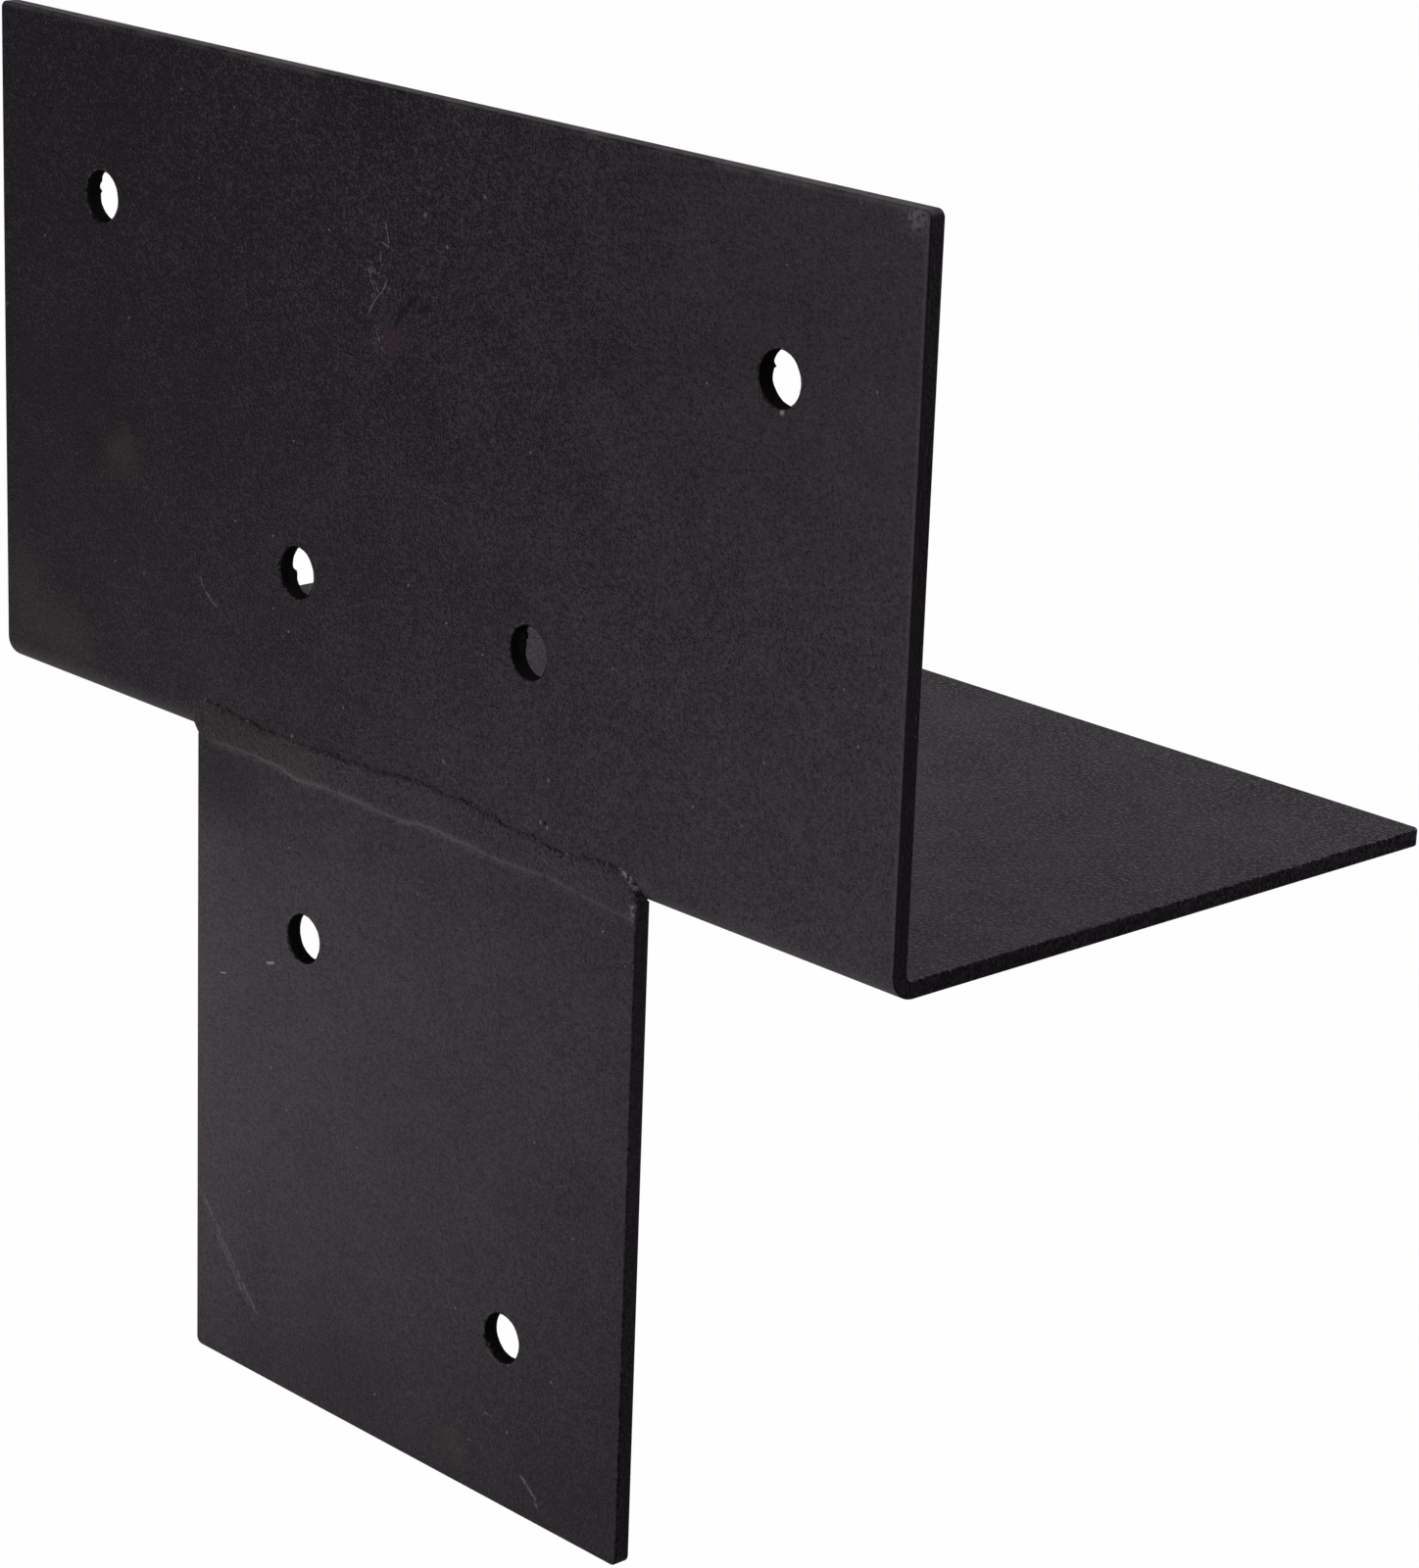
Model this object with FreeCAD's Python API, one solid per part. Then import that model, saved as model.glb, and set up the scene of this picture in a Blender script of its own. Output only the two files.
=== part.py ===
import FreeCAD, Part
import math
import os

# Pergola post extension bracket. A bent sheet holds the beam: an upright plate in
# front of it and a leg under it. A flat plate for the post hangs below the bend,
# flush with the upright, and one weld bead along the front joins the two.
# Sizes are in millimetres. X runs along the beam, Y from the front face back under
# the beam, and Z up. The origin lies on the leg's underside, over the middle of a
# square post that is as wide as its plate and stands against the plate's back.

# Sheet, the same stock for both pieces: its coat rounds every cut edge a little
SHEET_THICKNESS = 2.7
BEND_INSIDE_RADIUS = 1.4
CORNER_RADIUS = 1.2
EDGE_ROUNDING = 0.3
HOLE_EDGE_BREAK = 0.2

# Bent beam sheet
BEAM_SHEET_WIDTH = 203.2
UPRIGHT_HEIGHT = 107.0
LEG_DEPTH = 111.0

# Screw holes of the upright plate: one pair near the top, one pair lower down
BEAM_HOLE_DIAMETER = 8.2
TOP_HOLE_SPACING = 150.6
TOP_HOLE_DROP = 26.7
LOW_HOLE_SPACING = 53.0
LOW_HOLE_HEIGHT = 31.2

# Post plate, with its two screw holes on a diagonal
POST_PLATE_WIDTH = 101.6
POST_PLATE_LENGTH = 103.3
POST_HOLE_DIAMETER = 8.0
POST_HOLE_ACROSS = 48.2
POST_HOLE_DROP = 26.4
POST_HOLE_PITCH = 49.6

# Weld bead along the front of the joint. Its toes are the heights where it meets the
# upright, above the leg's underside, and the post plate, below it. The lower toe
# slopes down to the right, and both toes wander. The left end runs past the plate's
# side and draws in to it between a shoulder and a foot.
WELD_CROWN = 0.7
WELD_UPPER_TOE = 5.0
WELD_LOWER_TOE = 1.4
WELD_LOWER_SLOPE = 1.3
WELD_UPPER_WAVE = 0.8
WELD_UPPER_WAVE_LENGTH = 58.0
WELD_LOWER_WAVE = 0.3
WELD_LOWER_WAVE_LENGTH = 21.0
WELD_OVERRUN = 1.6
WELD_SHOULDER_HEIGHT = 1.5
WELD_FOOT_DEPTH = 0.7
WELD_END_RADIUS = 3.5
WELD_ROOT_SHORTFALL = 0.2

# Places that follow from the sizes
BEND_OUTSIDE_RADIUS = BEND_INSIDE_RADIUS + SHEET_THICKNESS
BACK_Y = -POST_PLATE_WIDTH / 2
FRONT_Y = BACK_Y - SHEET_THICKNESS
LEG_EDGE_Y = FRONT_Y + LEG_DEPTH
HALF_BEAM = BEAM_SHEET_WIDTH / 2
HALF_POST = POST_PLATE_WIDTH / 2
POST_PLATE_BOTTOM = -POST_PLATE_LENGTH
MIDDLE_Y = (FRONT_Y + BACK_Y) / 2
WELD_LEFT = -HALF_POST - WELD_OVERRUN
WELD_RIGHT = HALF_POST
WELD_TOP = WELD_UPPER_TOE + WELD_UPPER_WAVE
WELD_BOTTOM = -WELD_LOWER_TOE - WELD_LOWER_SLOPE - WELD_LOWER_WAVE

# Two faces that turn by more than this, in degrees, meet at an edge and not smoothly
SMOOTH_TURN = 30


def vector(x, y, z):
    """A point or direction."""
    return FreeCAD.Vector(x, y, z)


def quarter_arc(y_centre, z_centre, radius, start_degrees, end_degrees):
    """An arc of the bend, in the plane across the beam sheet's left edge."""
    middle_degrees = (start_degrees + end_degrees) / 2
    points = []
    for degrees in (start_degrees, middle_degrees, end_degrees):
        angle = math.radians(degrees)
        y = y_centre + radius * math.cos(angle)
        z = z_centre + radius * math.sin(angle)
        points.append(vector(-HALF_BEAM, y, z))
    return Part.Arc(*points).toShape()


def through_hole(x, z, diameter):
    """What a screw hole takes away: a round hole through a plate, its rims broken front and back."""
    radius = diameter / 2
    reach = SHEET_THICKNESS
    profile = [
        (0, FRONT_Y - reach),
        (radius + HOLE_EDGE_BREAK + reach, FRONT_Y - reach),
        (radius, FRONT_Y + HOLE_EDGE_BREAK),
        (radius, BACK_Y - HOLE_EDGE_BREAK),
        (radius + HOLE_EDGE_BREAK + reach, BACK_Y + reach),
        (0, BACK_Y + reach),
    ]
    points = [vector(x + r, y, z) for r, y in profile]
    half_section = Part.Face(Part.makePolygon(points + points[:1]))
    return half_section.revolve(vector(x, 0, z), vector(0, 1, 0), 360)


def edges_near(shape, points):
    """The edges whose middle lies at one of the points."""
    near = SHEET_THICKNESS / 4
    return [edge for edge in shape.Edges if any(edge.CenterOfMass.distanceToPoint(p) < near for p in points)]


def face_normal(face, point):
    """The outward direction of a face at a point on it."""
    u, v = face.Surface.parameter(point)
    return face.normalAt(u, v)


def sharp_edges(shape):
    """The edges where two faces meet at a corner, leaving out smooth lines, seams and hole rims."""
    sharp = []
    for edge in shape.Edges:
        faces = shape.ancestorsOfType(edge, Part.Face)
        if len(faces) != 2 or edge.Closed:
            continue
        middle = edge.valueAt((edge.FirstParameter + edge.LastParameter) / 2)
        first = face_normal(faces[0], middle)
        second = face_normal(faces[1], middle)
        if first.getAngle(second) > math.radians(SMOOTH_TURN):
            sharp.append(edge)
    return sharp


def beam_angle():
    """The bent sheet: upright plate, bend and leg, with four screw holes in the upright."""
    t = SHEET_THICKNESS
    left = -HALF_BEAM
    radius = BEND_OUTSIDE_RADIUS
    centre_y = FRONT_Y + radius
    corners = [
        vector(left, FRONT_Y, radius),
        vector(left, FRONT_Y, UPRIGHT_HEIGHT),
        vector(left, BACK_Y, UPRIGHT_HEIGHT),
        vector(left, BACK_Y, radius),
        vector(left, centre_y, t),
        vector(left, LEG_EDGE_Y, t),
        vector(left, LEG_EDGE_Y, 0),
        vector(left, centre_y, 0),
    ]
    straights = [Part.LineSegment(corners[i], corners[i + 1]).toShape() for i in (0, 1, 2, 4, 5, 6)]
    inside_bend = quarter_arc(centre_y, radius, BEND_INSIDE_RADIUS, 180, 270)
    outside_bend = quarter_arc(centre_y, radius, radius, 270, 180)
    section = Part.Wire(straights[:3] + [inside_bend] + straights[3:] + [outside_bend])
    sheet = Part.Face(section).extrude(vector(BEAM_SHEET_WIDTH, 0, 0))

    outline_corners = []
    for x in (-HALF_BEAM, HALF_BEAM):
        outline_corners.append(vector(x, MIDDLE_Y, UPRIGHT_HEIGHT))
        outline_corners.append(vector(x, LEG_EDGE_Y, t / 2))
    sheet = sheet.makeFillet(CORNER_RADIUS, edges_near(sheet, outline_corners))

    top_z = UPRIGHT_HEIGHT - TOP_HOLE_DROP
    for side in (-1, 1):
        sheet = sheet.cut(through_hole(side * TOP_HOLE_SPACING / 2, top_z, BEAM_HOLE_DIAMETER))
        sheet = sheet.cut(through_hole(side * LOW_HOLE_SPACING / 2, LOW_HOLE_HEIGHT, BEAM_HOLE_DIAMETER))
    return sheet.makeFillet(EDGE_ROUNDING, sharp_edges(sheet))


def post_plate_blank():
    """The flat plate on the post, its top edge level with the leg's underside and its edges square."""
    corner = vector(-HALF_POST, FRONT_Y, POST_PLATE_BOTTOM)
    plate = Part.makeBox(POST_PLATE_WIDTH, SHEET_THICKNESS, POST_PLATE_LENGTH, corner)
    lower_corners = [vector(x, MIDDLE_Y, POST_PLATE_BOTTOM) for x in (-HALF_POST, HALF_POST)]
    plate = plate.makeFillet(CORNER_RADIUS, edges_near(plate, lower_corners))

    upper_z = -POST_HOLE_DROP
    lower_z = upper_z - POST_HOLE_PITCH
    plate = plate.cut(through_hole(-POST_HOLE_ACROSS / 2, upper_z, POST_HOLE_DIAMETER))
    return plate.cut(through_hole(POST_HOLE_ACROSS / 2, lower_z, POST_HOLE_DIAMETER))


def post_plate():
    """The post plate with its open edges rounded. Its top edge lies under the weld and stays square."""
    plate = post_plate_blank()
    exposed = [edge for edge in sharp_edges(plate) if edge.CenterOfMass.z < -EDGE_ROUNDING / 2]
    return plate.makeFillet(EDGE_ROUNDING, exposed)


def weld_toes(x):
    """The heights of the bead's lower and upper edge on the plates, at one place along it."""
    lower_turn = 2 * math.pi * x / WELD_LOWER_WAVE_LENGTH
    upper_turn = 2 * math.pi * x / WELD_UPPER_WAVE_LENGTH
    slope = WELD_LOWER_SLOPE * x / HALF_POST
    lower = -WELD_LOWER_TOE - slope + WELD_LOWER_WAVE * math.sin(lower_turn)
    upper = WELD_UPPER_TOE + WELD_UPPER_WAVE * math.cos(upper_turn)
    return lower, upper


def weld_face_point(x, z):
    """A point of the bead's face: a low arch between the two toes, dipping into the plates past them."""
    lower, upper = weld_toes(x)
    across = 2 * (z - lower) / (upper - lower) - 1
    return vector(x, FRONT_Y - WELD_CROWN * (1 - across * across), z)


def weld_block():
    """The bead's limits: a block from well before its crown back to its root. Its upper corners are round."""
    outline = [
        vector(WELD_LEFT, 0, WELD_SHOULDER_HEIGHT),
        vector(-HALF_POST, 0, -WELD_FOOT_DEPTH),
        vector(-HALF_POST, 0, WELD_BOTTOM),
        vector(WELD_RIGHT, 0, WELD_BOTTOM),
        vector(WELD_RIGHT, 0, WELD_TOP),
        vector(WELD_LEFT, 0, WELD_TOP),
    ]
    block_front_y = FRONT_Y - 2 * WELD_CROWN
    root_y = BACK_Y - WELD_ROOT_SHORTFALL
    front = Part.Face(Part.makePolygon(outline + outline[:1]))
    front.translate(vector(0, block_front_y, 0))
    block = front.extrude(vector(0, root_y - block_front_y, 0))

    block_middle_y = (block_front_y + root_y) / 2
    upper_corners = [vector(x, block_middle_y, WELD_TOP) for x in (WELD_LEFT, WELD_RIGHT)]
    room = WELD_TOP - WELD_SHOULDER_HEIGHT
    radius = min(WELD_END_RADIUS, 0.9 * room)
    return block.makeFillet(radius, edges_near(block, upper_corners))


def weld_face():
    """The bead's wavy front face, running past the block all round so that the block's edges cut it."""
    stations = 41
    rows = 7
    margin = WELD_CROWN
    width = WELD_RIGHT - WELD_LEFT + 2 * margin
    height = WELD_TOP - WELD_BOTTOM + 2 * margin
    grid = []
    for i in range(stations):
        x = WELD_LEFT - margin + width * i / (stations - 1)
        heights = [WELD_BOTTOM - margin + height * j / (rows - 1) for j in range(rows)]
        grid.append([weld_face_point(x, z) for z in heights])
    surface = Part.BSplineSurface()
    surface.interpolate(grid)
    return surface.toShape()


def weld_bead(seat, plate):
    """The bead: it fills the groove under the bend down to the post plate, and stands a little proud."""
    metal = weld_face().extrude(vector(0, 3 * SHEET_THICKNESS, 0))
    return metal.common(weld_block()).cut(seat).cut(plate)


def main():
    os.makedirs("parts", exist_ok=True)
    seat = beam_angle()
    plate = post_plate()
    bead = weld_bead(seat, post_plate_blank())
    for name, shape in (("beam_angle", seat), ("post_plate", plate), ("weld_bead", bead)):
        box = shape.optimalBoundingBox()
        print(name, len(shape.Solids), "solid, valid", shape.isValid(), "volume", round(shape.Volume, 1))
        print("  from", round(box.XMin, 2), round(box.YMin, 2), round(box.ZMin, 2),
              "to", round(box.XMax, 2), round(box.YMax, 2), round(box.ZMax, 2))
        shape.exportStep("parts/" + name + ".step")


main()
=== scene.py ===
import math

import bpy
import numpy as np
from bpy.props import FloatProperty, FloatVectorProperty, PointerProperty
from mathutils import Euler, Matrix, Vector


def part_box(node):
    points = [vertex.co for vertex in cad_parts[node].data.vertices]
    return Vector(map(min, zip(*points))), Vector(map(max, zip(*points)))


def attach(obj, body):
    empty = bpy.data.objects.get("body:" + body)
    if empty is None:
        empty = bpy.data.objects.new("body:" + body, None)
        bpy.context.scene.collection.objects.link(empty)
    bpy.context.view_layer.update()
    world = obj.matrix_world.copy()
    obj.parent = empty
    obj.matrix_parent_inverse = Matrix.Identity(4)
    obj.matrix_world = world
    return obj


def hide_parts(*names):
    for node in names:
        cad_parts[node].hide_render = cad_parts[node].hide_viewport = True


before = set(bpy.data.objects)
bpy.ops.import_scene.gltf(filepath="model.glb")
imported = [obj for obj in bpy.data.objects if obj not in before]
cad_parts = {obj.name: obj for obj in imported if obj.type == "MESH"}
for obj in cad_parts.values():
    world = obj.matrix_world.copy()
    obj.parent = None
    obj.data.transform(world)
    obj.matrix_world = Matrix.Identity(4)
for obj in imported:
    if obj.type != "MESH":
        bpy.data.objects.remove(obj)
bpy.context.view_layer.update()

bl_info = {
    "name": "Post Extension Bracket",
    "version": (1, 0, 0),
    "blender": (4, 5, 0),
    "location": "3D View > Sidebar > Bracket",
    "description": "Coats a welded steel bracket black, lays its weld and sets a studio round it",
    "category": "Object",
}

# Lengths are in metres, as in the frame, and places are given in millimetres where that reads better
MM = 0.001

# The steel, as the frame has it: both plates share a front and a back plane
_, SHEET_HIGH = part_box("beam_angle")
PLATE_LOW, PLATE_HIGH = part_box("post_plate")
FRONT_Y = PLATE_LOW.y
BACK_Y = PLATE_HIGH.y
SHEET_THICKNESS = BACK_Y - FRONT_Y
BEND_INSIDE_RADIUS = 1.4 * MM
BEND_RADIUS = BEND_INSIDE_RADIUS + SHEET_THICKNESS

# Where the bead's edges meet the plates, as places across and up the front, in millimetres
UPPER_TOE = ((-53, 5.6), (-48, 6.3), (-41, 5.4), (-34, 4.9), (-20, 5.1), (-8, 5.2), (2, 6.0), (13, 5.8),
             (24, 4.6), (34, 3.8), (45, 4.7), (48, 4.4), (51, 3.0))
LOWER_TOE = ((-53, -0.8), (-44, -0.4), (-31, -0.4), (-25, -1.4), (-18, -0.8), (-9, -1.1), (-2, -1.5),
             (5, -0.7), (13, -1.0), (22, -1.5), (33, -1.2), (42, -2.2), (51, -2.6))

# Drops of metal thrown off the weld, in millimetres: across, up, radius
SPATTER = ((30.8, 6.7, 0.46), (0.4, 7.6, 0.24), (36.9, 5.8, 0.2), (-33.0, 6.4, 0.22))

# Screw holes in millimetres: across, up, radius, and the lumps on the wall. A lump has its turn round the
# hole in degrees from the right, its share of the way from front to back, its height and its width
HOLES = (
    (-75.3, 80.3, 4.1, (
        (180, 0.95, 0.5, 0.3), (188, 0.95, 0.25, 0.8), (155, 0.95, 0.25, 0.5), (0, 0.5, 0.15, 3))),
    (75.3, 80.3, 4.1, (
        (166, 0.95, 0.55, 0.3), (175, 0.95, 0.35, 1.0), (235, 0.1, 0.2, 0.9))),
    (-26.5, 31.2, 4.1, (
        (194, 0.95, 0.5, 0.3), (202, 0.95, 0.7, 0.7), (218, 0.95, 0.35, 1.5))),
    (26.5, 31.2, 4.1, (
        (150, 0.85, 0.6, 0.3), (158, 0.9, 0.7, 0.4), (178, 0.95, 0.7, 1.4), (212, 0.95, 0.3, 2))),
    (-24.1, -26.4, 4.0, (
        (205, 0.1, 0.2, 0.8), (228, 0.05, 0.25, 0.4), (300, 0.1, 0.15, 0.5), (0, 0.5, 0.35, 3))),
    (24.1, -76.0, 4.0, (
        (215, 0.2, 0.6, 0.3), (235, 0.15, 0.5, 0.5), (260, 0.1, 0.3, 0.8), (0, 0.5, 0.45, 3))),
)

# Marks on the fronts. Their places are across and up, in millimetres. A scratch has its points, its width
# in millimetres and its strength, from nought to one. All hairs share a width and a strength
HAIR_WIDTH, HAIR_STRENGTH = 0.36, 0.42
HAIRS = (
    ((-6.6, 87.5), (-5.8, 84.8)),
    ((-7.3, 84.6), (-5.8, 84.2)),
    ((-7.5, 83.2), (-7.6, 81.8)),
    ((-10.4, 80.4), (-9.8, 79.2)),
    ((-9.8, 78.7), (-9.0, 77.6)),
    ((-8.7, 78.3), (-7.7, 76.9)),
    ((-6.1, 79.3), (-7.0, 77.6), (-8.7, 76.0), (-10.1, 73.9)),
    ((-8.3, 71.3), (-7.6, 69.9)),
    ((-7.3, 69.3), (-6.8, 68.8)),
)
DARK_SCRATCHES = (
    (((0.9, 78.1), (-1.1, 76.6), (-2.7, 75.1), (-4.1, 73.0)), 1.6, 1.0),
    (((3.5, 77.1), (1.4, 76.0)), 1.6, 1.0),
    (((5.2, 75.4), (3.1, 74.1)), 1.4, 0.7),
)
SPECK_WIDTH, SPECK_STRENGTH = 0.9, 0.5
# Pale specks; those by the largest drop and by the bead's upper edge are painted glints
SPECKS_AND_GLINTS = ((8.4, 10.4), (31.6, 13.5), (2.2, 90.1), (7.2, 86.3), (15.1, 94.8), (30.1, 6.8), (31.5, 6.4),
          (-27.2, 5.4), (-44.3, 5.2))
ROUGH_SCRATCHES = (
    (((-49.4, -76.5), (-42.7, -84.6), (-34.6, -93.2)), 1.3, 0.24),
    (((-45.4, -82.7), (-37.3, -92.0)), 0.8, 0.24),
    (((29.4, -96.6), (32.6, -99.1), (33.1, -100.3)), 0.8, 0.5),
    (((20.7, -89.3), (22.4, -89.4)), 0.5, 0.5),
)
CLEAN_SCRATCHES = (
    (((-32.8, -32.8), (-31.4, -32.4)), 0.7, 1.0),
    (((-44.6, -37.8), (-43.4, -37.5)), 0.4, 1.0),
    (((-42.9, -58.0), (-12.0, -49.7)), 0.5, 0.035),
    (((1.7, -20.8), (2.0, -30.5)), 0.7, 0.035),
)
# Painted highlights round the bead's right end, laid out like scratches
BEAD_TIP_HIGHLIGHTS = (
    (((47.9, 4.5), (49.4, 4.0), (50.8, 3.0)), 2.2, 1.0),
    (((50.4, -0.2), (50.6, -2.4)), 1.7, 0.7),
)

# Soft boxes round the bracket: place and size in metres, power in watts, and the share of green in their
# light, which is a little short in those over and behind it
SOFT_BOXES = {
    "front_box": ((-0.20, -0.47, -0.24), 0.25, 1.0, 1.0),
    "low_left_box": ((-0.45, -0.36, -0.33), 0.22, 2.25, 1.0),
    "right_box": ((0.08, -0.45, 0.10), 0.3, 1.25, 1.0),
    "rear_left_box": ((-0.78, 0.73, 0.33), 0.7, 0.24, 0.93),
    "rear_box": ((0.0, 1.0, 0.44), 0.7, 6.5, 0.93),
    "rear_low_box": ((0.0, 0.95, 0.10), 0.5, 7.0, 0.93),
    "top_box": ((0.0, 0.05, 1.1), 0.8, 5.6, 0.93),
}

# Where the camera stands, in metres, and how it is turned about the three axes, in degrees
CAMERA_PLACE = (0.50992, -0.47765, 0.21864)
CAMERA_ANGLES = (72.21535, -1.99249, 47.01759)

RANDOM_SEED = 4


class Value:
    """A number that changes over a surface. Working with it adds Math nodes to its tree."""

    def __init__(self, nodes, socket):
        self.nodes = nodes
        self.socket = socket

    def math(self, operation, *values):
        """What a Math node makes of one or more numbers."""
        made = self.nodes.add("ShaderNodeMath", {"operation": operation}, dict(enumerate(values)))
        return Value(self.nodes, made.outputs[0])

    def __add__(self, other):
        return self.math("ADD", self, other)

    def __radd__(self, other):
        return self.math("ADD", other, self)

    def __sub__(self, other):
        return self.math("SUBTRACT", self, other)

    def __rsub__(self, other):
        return self.math("SUBTRACT", other, self)

    def __mul__(self, other):
        return self.math("MULTIPLY", self, other)

    def __rmul__(self, other):
        return self.math("MULTIPLY", other, self)

    def __abs__(self):
        return self.math("ABSOLUTE", self)

    def larger(self, other):
        """The larger of two numbers."""
        return self.math("MAXIMUM", self, other)

    def ramp(self, low, high):
        """Nought at low, one at high and a smooth rise between them. Low may be the larger one."""
        settings = {"interpolation_type": "SMOOTHSTEP"}
        inputs = {"Value": self, "From Min": low, "From Max": high}
        made = self.nodes.add("ShaderNodeMapRange", settings, inputs)
        return Value(self.nodes, made.outputs[0])


def largest(values):
    """The largest of several numbers that change over a surface."""
    whole, *others = values
    for other in others:
        whole = whole.larger(other)
    return whole


class Nodes:
    """A node tree, with one method that adds any node."""

    def __init__(self, tree):
        self.tree = tree

    def add(self, kind, settings=None, inputs=None):
        """Adds a node of a kind. Its settings are set first, then its inputs get a number, colour or link."""
        made = self.tree.nodes.new(kind)
        for name, setting in (settings or {}).items():
            setattr(made, name, setting)
        for name, given in (inputs or {}).items():
            if isinstance(given, Value):
                given = given.socket
            if isinstance(given, bpy.types.NodeSocket):
                self.tree.links.new(given, made.inputs[name])
            else:
                made.inputs[name].default_value = given
        return made

    def vector_math(self, operation, *vectors):
        """The Vector Math node of an operation on two vectors."""
        return self.add("ShaderNodeVectorMath", {"operation": operation}, dict(enumerate(vectors)))

    def mix(self, factor, first, second):
        """A colour between two colours."""
        settings = {"data_type": "RGBA"}
        made = self.add("ShaderNodeMix", settings, {0: factor, 6: first, 7: second})
        return made.outputs[2]


class Finish(Nodes):
    """A material on its way: its surface shader, and the place on the bracket that its patterns read."""

    def __init__(self, name):
        self.material = bpy.data.materials.new(name)
        self.material.use_nodes = True
        super().__init__(self.material.node_tree)
        self.surface = self.tree.nodes["Principled BSDF"]
        self.place = self.add("ShaderNodeTexCoord").outputs["Object"]
        split = self.add("ShaderNodeSeparateXYZ", inputs={0: self.place})
        self.x, self.y, self.z = (Value(self, axis) for axis in split.outputs)

    def noise(self, size, detail=2.0, roughness=0.5):
        """Soft noise from nought to one, in patches of a size."""
        inputs = {"Vector": self.place, "Scale": 1 / size, "Detail": detail, "Roughness": roughness}
        return Value(self, self.add("ShaderNodeTexNoise", inputs=inputs).outputs["Fac"])

    def dots(self, spacing, radius, share):
        """Small round dots at random places: the near middles of some of the cells of a given spacing.
        A cell draws a lot. The dot is missing below one share of the lots, and full above another."""
        full_radius = 0.4 * radius
        missing, full = 1 - share, 1 - 0.6 * share
        cells = self.add("ShaderNodeTexVoronoi", inputs={"Vector": self.place, "Scale": 1 / spacing})
        near = Value(self, cells.outputs["Distance"]).ramp(radius / spacing, full_radius / spacing)
        lot = self.add("ShaderNodeSeparateColor", inputs={0: cells.outputs["Color"]})
        return near * Value(self, lot.outputs[0]).ramp(missing, full)

    def stroke(self, start, end, width):
        """One along a straight mark on the front and nought past half its width.
        The gap is measured to the nearest place on the line between two places, in millimetres."""
        start, end = (Vector((across * MM, FRONT_Y, up * MM)) for across, up in (start, end))
        run = end - start
        offset = self.vector_math("SUBTRACT", self.place, start).outputs[0]
        dot = self.vector_math("DOT_PRODUCT", offset, run / run.length_squared)
        share = self.add("ShaderNodeClamp", inputs={0: dot.outputs["Value"]}).outputs[0]
        nearest = self.add("ShaderNodeVectorMath", {"operation": "SCALE"}, {0: run, "Scale": share})
        gap = self.vector_math("DISTANCE", offset, nearest.outputs[0]).outputs["Value"]
        return Value(self, gap).ramp(width * MM / 2, 0)

    def path(self, points, width):
        """A mark that runs straight from point to point."""
        return largest(self.stroke(*ends, width) for ends in zip(points, points[1:]))

    def scratches(self, marks):
        """Several marks as one, each with its points, its width and its strength."""
        return largest(self.path(points, width) * strength for points, width, strength in marks)

    def gap(self, middle):
        """How far each place is from a point on the front, which is given in millimetres."""
        middle = Vector((middle[0] * MM, FRONT_Y, middle[1] * MM))
        return Value(self, self.vector_math("DISTANCE", self.place, middle).outputs["Value"])

    def patch(self, middle, size):
        """One in the middle of a soft round patch on the front, in millimetres, fading out to nought."""
        return self.gap(middle).ramp(size * MM / 2, 0)

    def ring(self, middle, radius, width):
        """One along a circle on the front, in millimetres, and nought past half its width."""
        return abs(self.gap(middle) - radius * MM).ramp(width * MM / 2, 0)


def settings():
    """The bracket's own settings, kept on the scene."""
    return bpy.context.scene.bracket


class CoatSettings(bpy.types.PropertyGroup):
    """The black powder coat on every piece."""

    colour: FloatVectorProperty(name="Colour", description="The coat's own colour", subtype="COLOR",
                                size=3, min=0, max=1, default=(0.0117, 0.0106, 0.0117))
    # Its colour is also that of the painted highlights on edges, rims, lips, drops and the drip
    highlight_and_wear_colour: FloatVectorProperty(name="Worn colour", description="Where the coat is rubbed or thin",
                                     subtype="COLOR", size=3, min=0, max=1, default=(0.16, 0.15, 0.155))
    stain_colour: FloatVectorProperty(name="Stain colour", description="Brown film left on the coat",
                                      subtype="COLOR", size=3, min=0, max=1, default=(0.030, 0.025, 0.0185))
    smear_colour: FloatVectorProperty(name="Smear colour", description="Reddish smear left on the coat",
                                      subtype="COLOR", size=3, min=0, max=1, default=(0.0155, 0.0078, 0.0108))
    grain_size: FloatProperty(name="Grain size", description="Width of one grain of the coat",
                              subtype="DISTANCE", unit="LENGTH", min=0.0001, default=0.7 * MM)
    grain_depth: FloatProperty(name="Grain depth", description="How far the grains stand out",
                               subtype="DISTANCE", unit="LENGTH", min=0, default=0.25 * MM)
    roughness: FloatProperty(name="Roughness", description="How soft the coat's gloss is",
                             subtype="FACTOR", min=0, max=1, default=0.58)
    gloss_tint: FloatVectorProperty(name="Gloss tint", description="The gloss's own colour",
                                    subtype="COLOR", size=3, min=0, max=1, default=(1.0, 0.55, 0.98))
    specular: FloatProperty(name="Gloss", description="How strong the coat's gloss is",
                            subtype="FACTOR", min=0, max=1, default=0.035)


class WeldSettings(bpy.types.PropertyGroup):
    """The weld bead and the drops beside it."""

    crown: FloatProperty(name="Crown", description="How far the bead stands out in front of the plates",
                         subtype="DISTANCE", unit="LENGTH", min=0, default=0.36 * MM)
    ripple_pitch: FloatProperty(name="Ripple pitch", description="From one ripple of the bead to the next",
                                subtype="DISTANCE", unit="LENGTH", min=0.0005, default=2.3 * MM)
    ripple_depth: FloatProperty(name="Ripple depth", description="Height of the ripples",
                                subtype="DISTANCE", unit="LENGTH", min=0, default=0.012 * MM)
    grit_depth: FloatProperty(name="Grit depth", description="Height of the bead's small lumps",
                              subtype="DISTANCE", unit="LENGTH", min=0, default=0.035 * MM)


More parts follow.
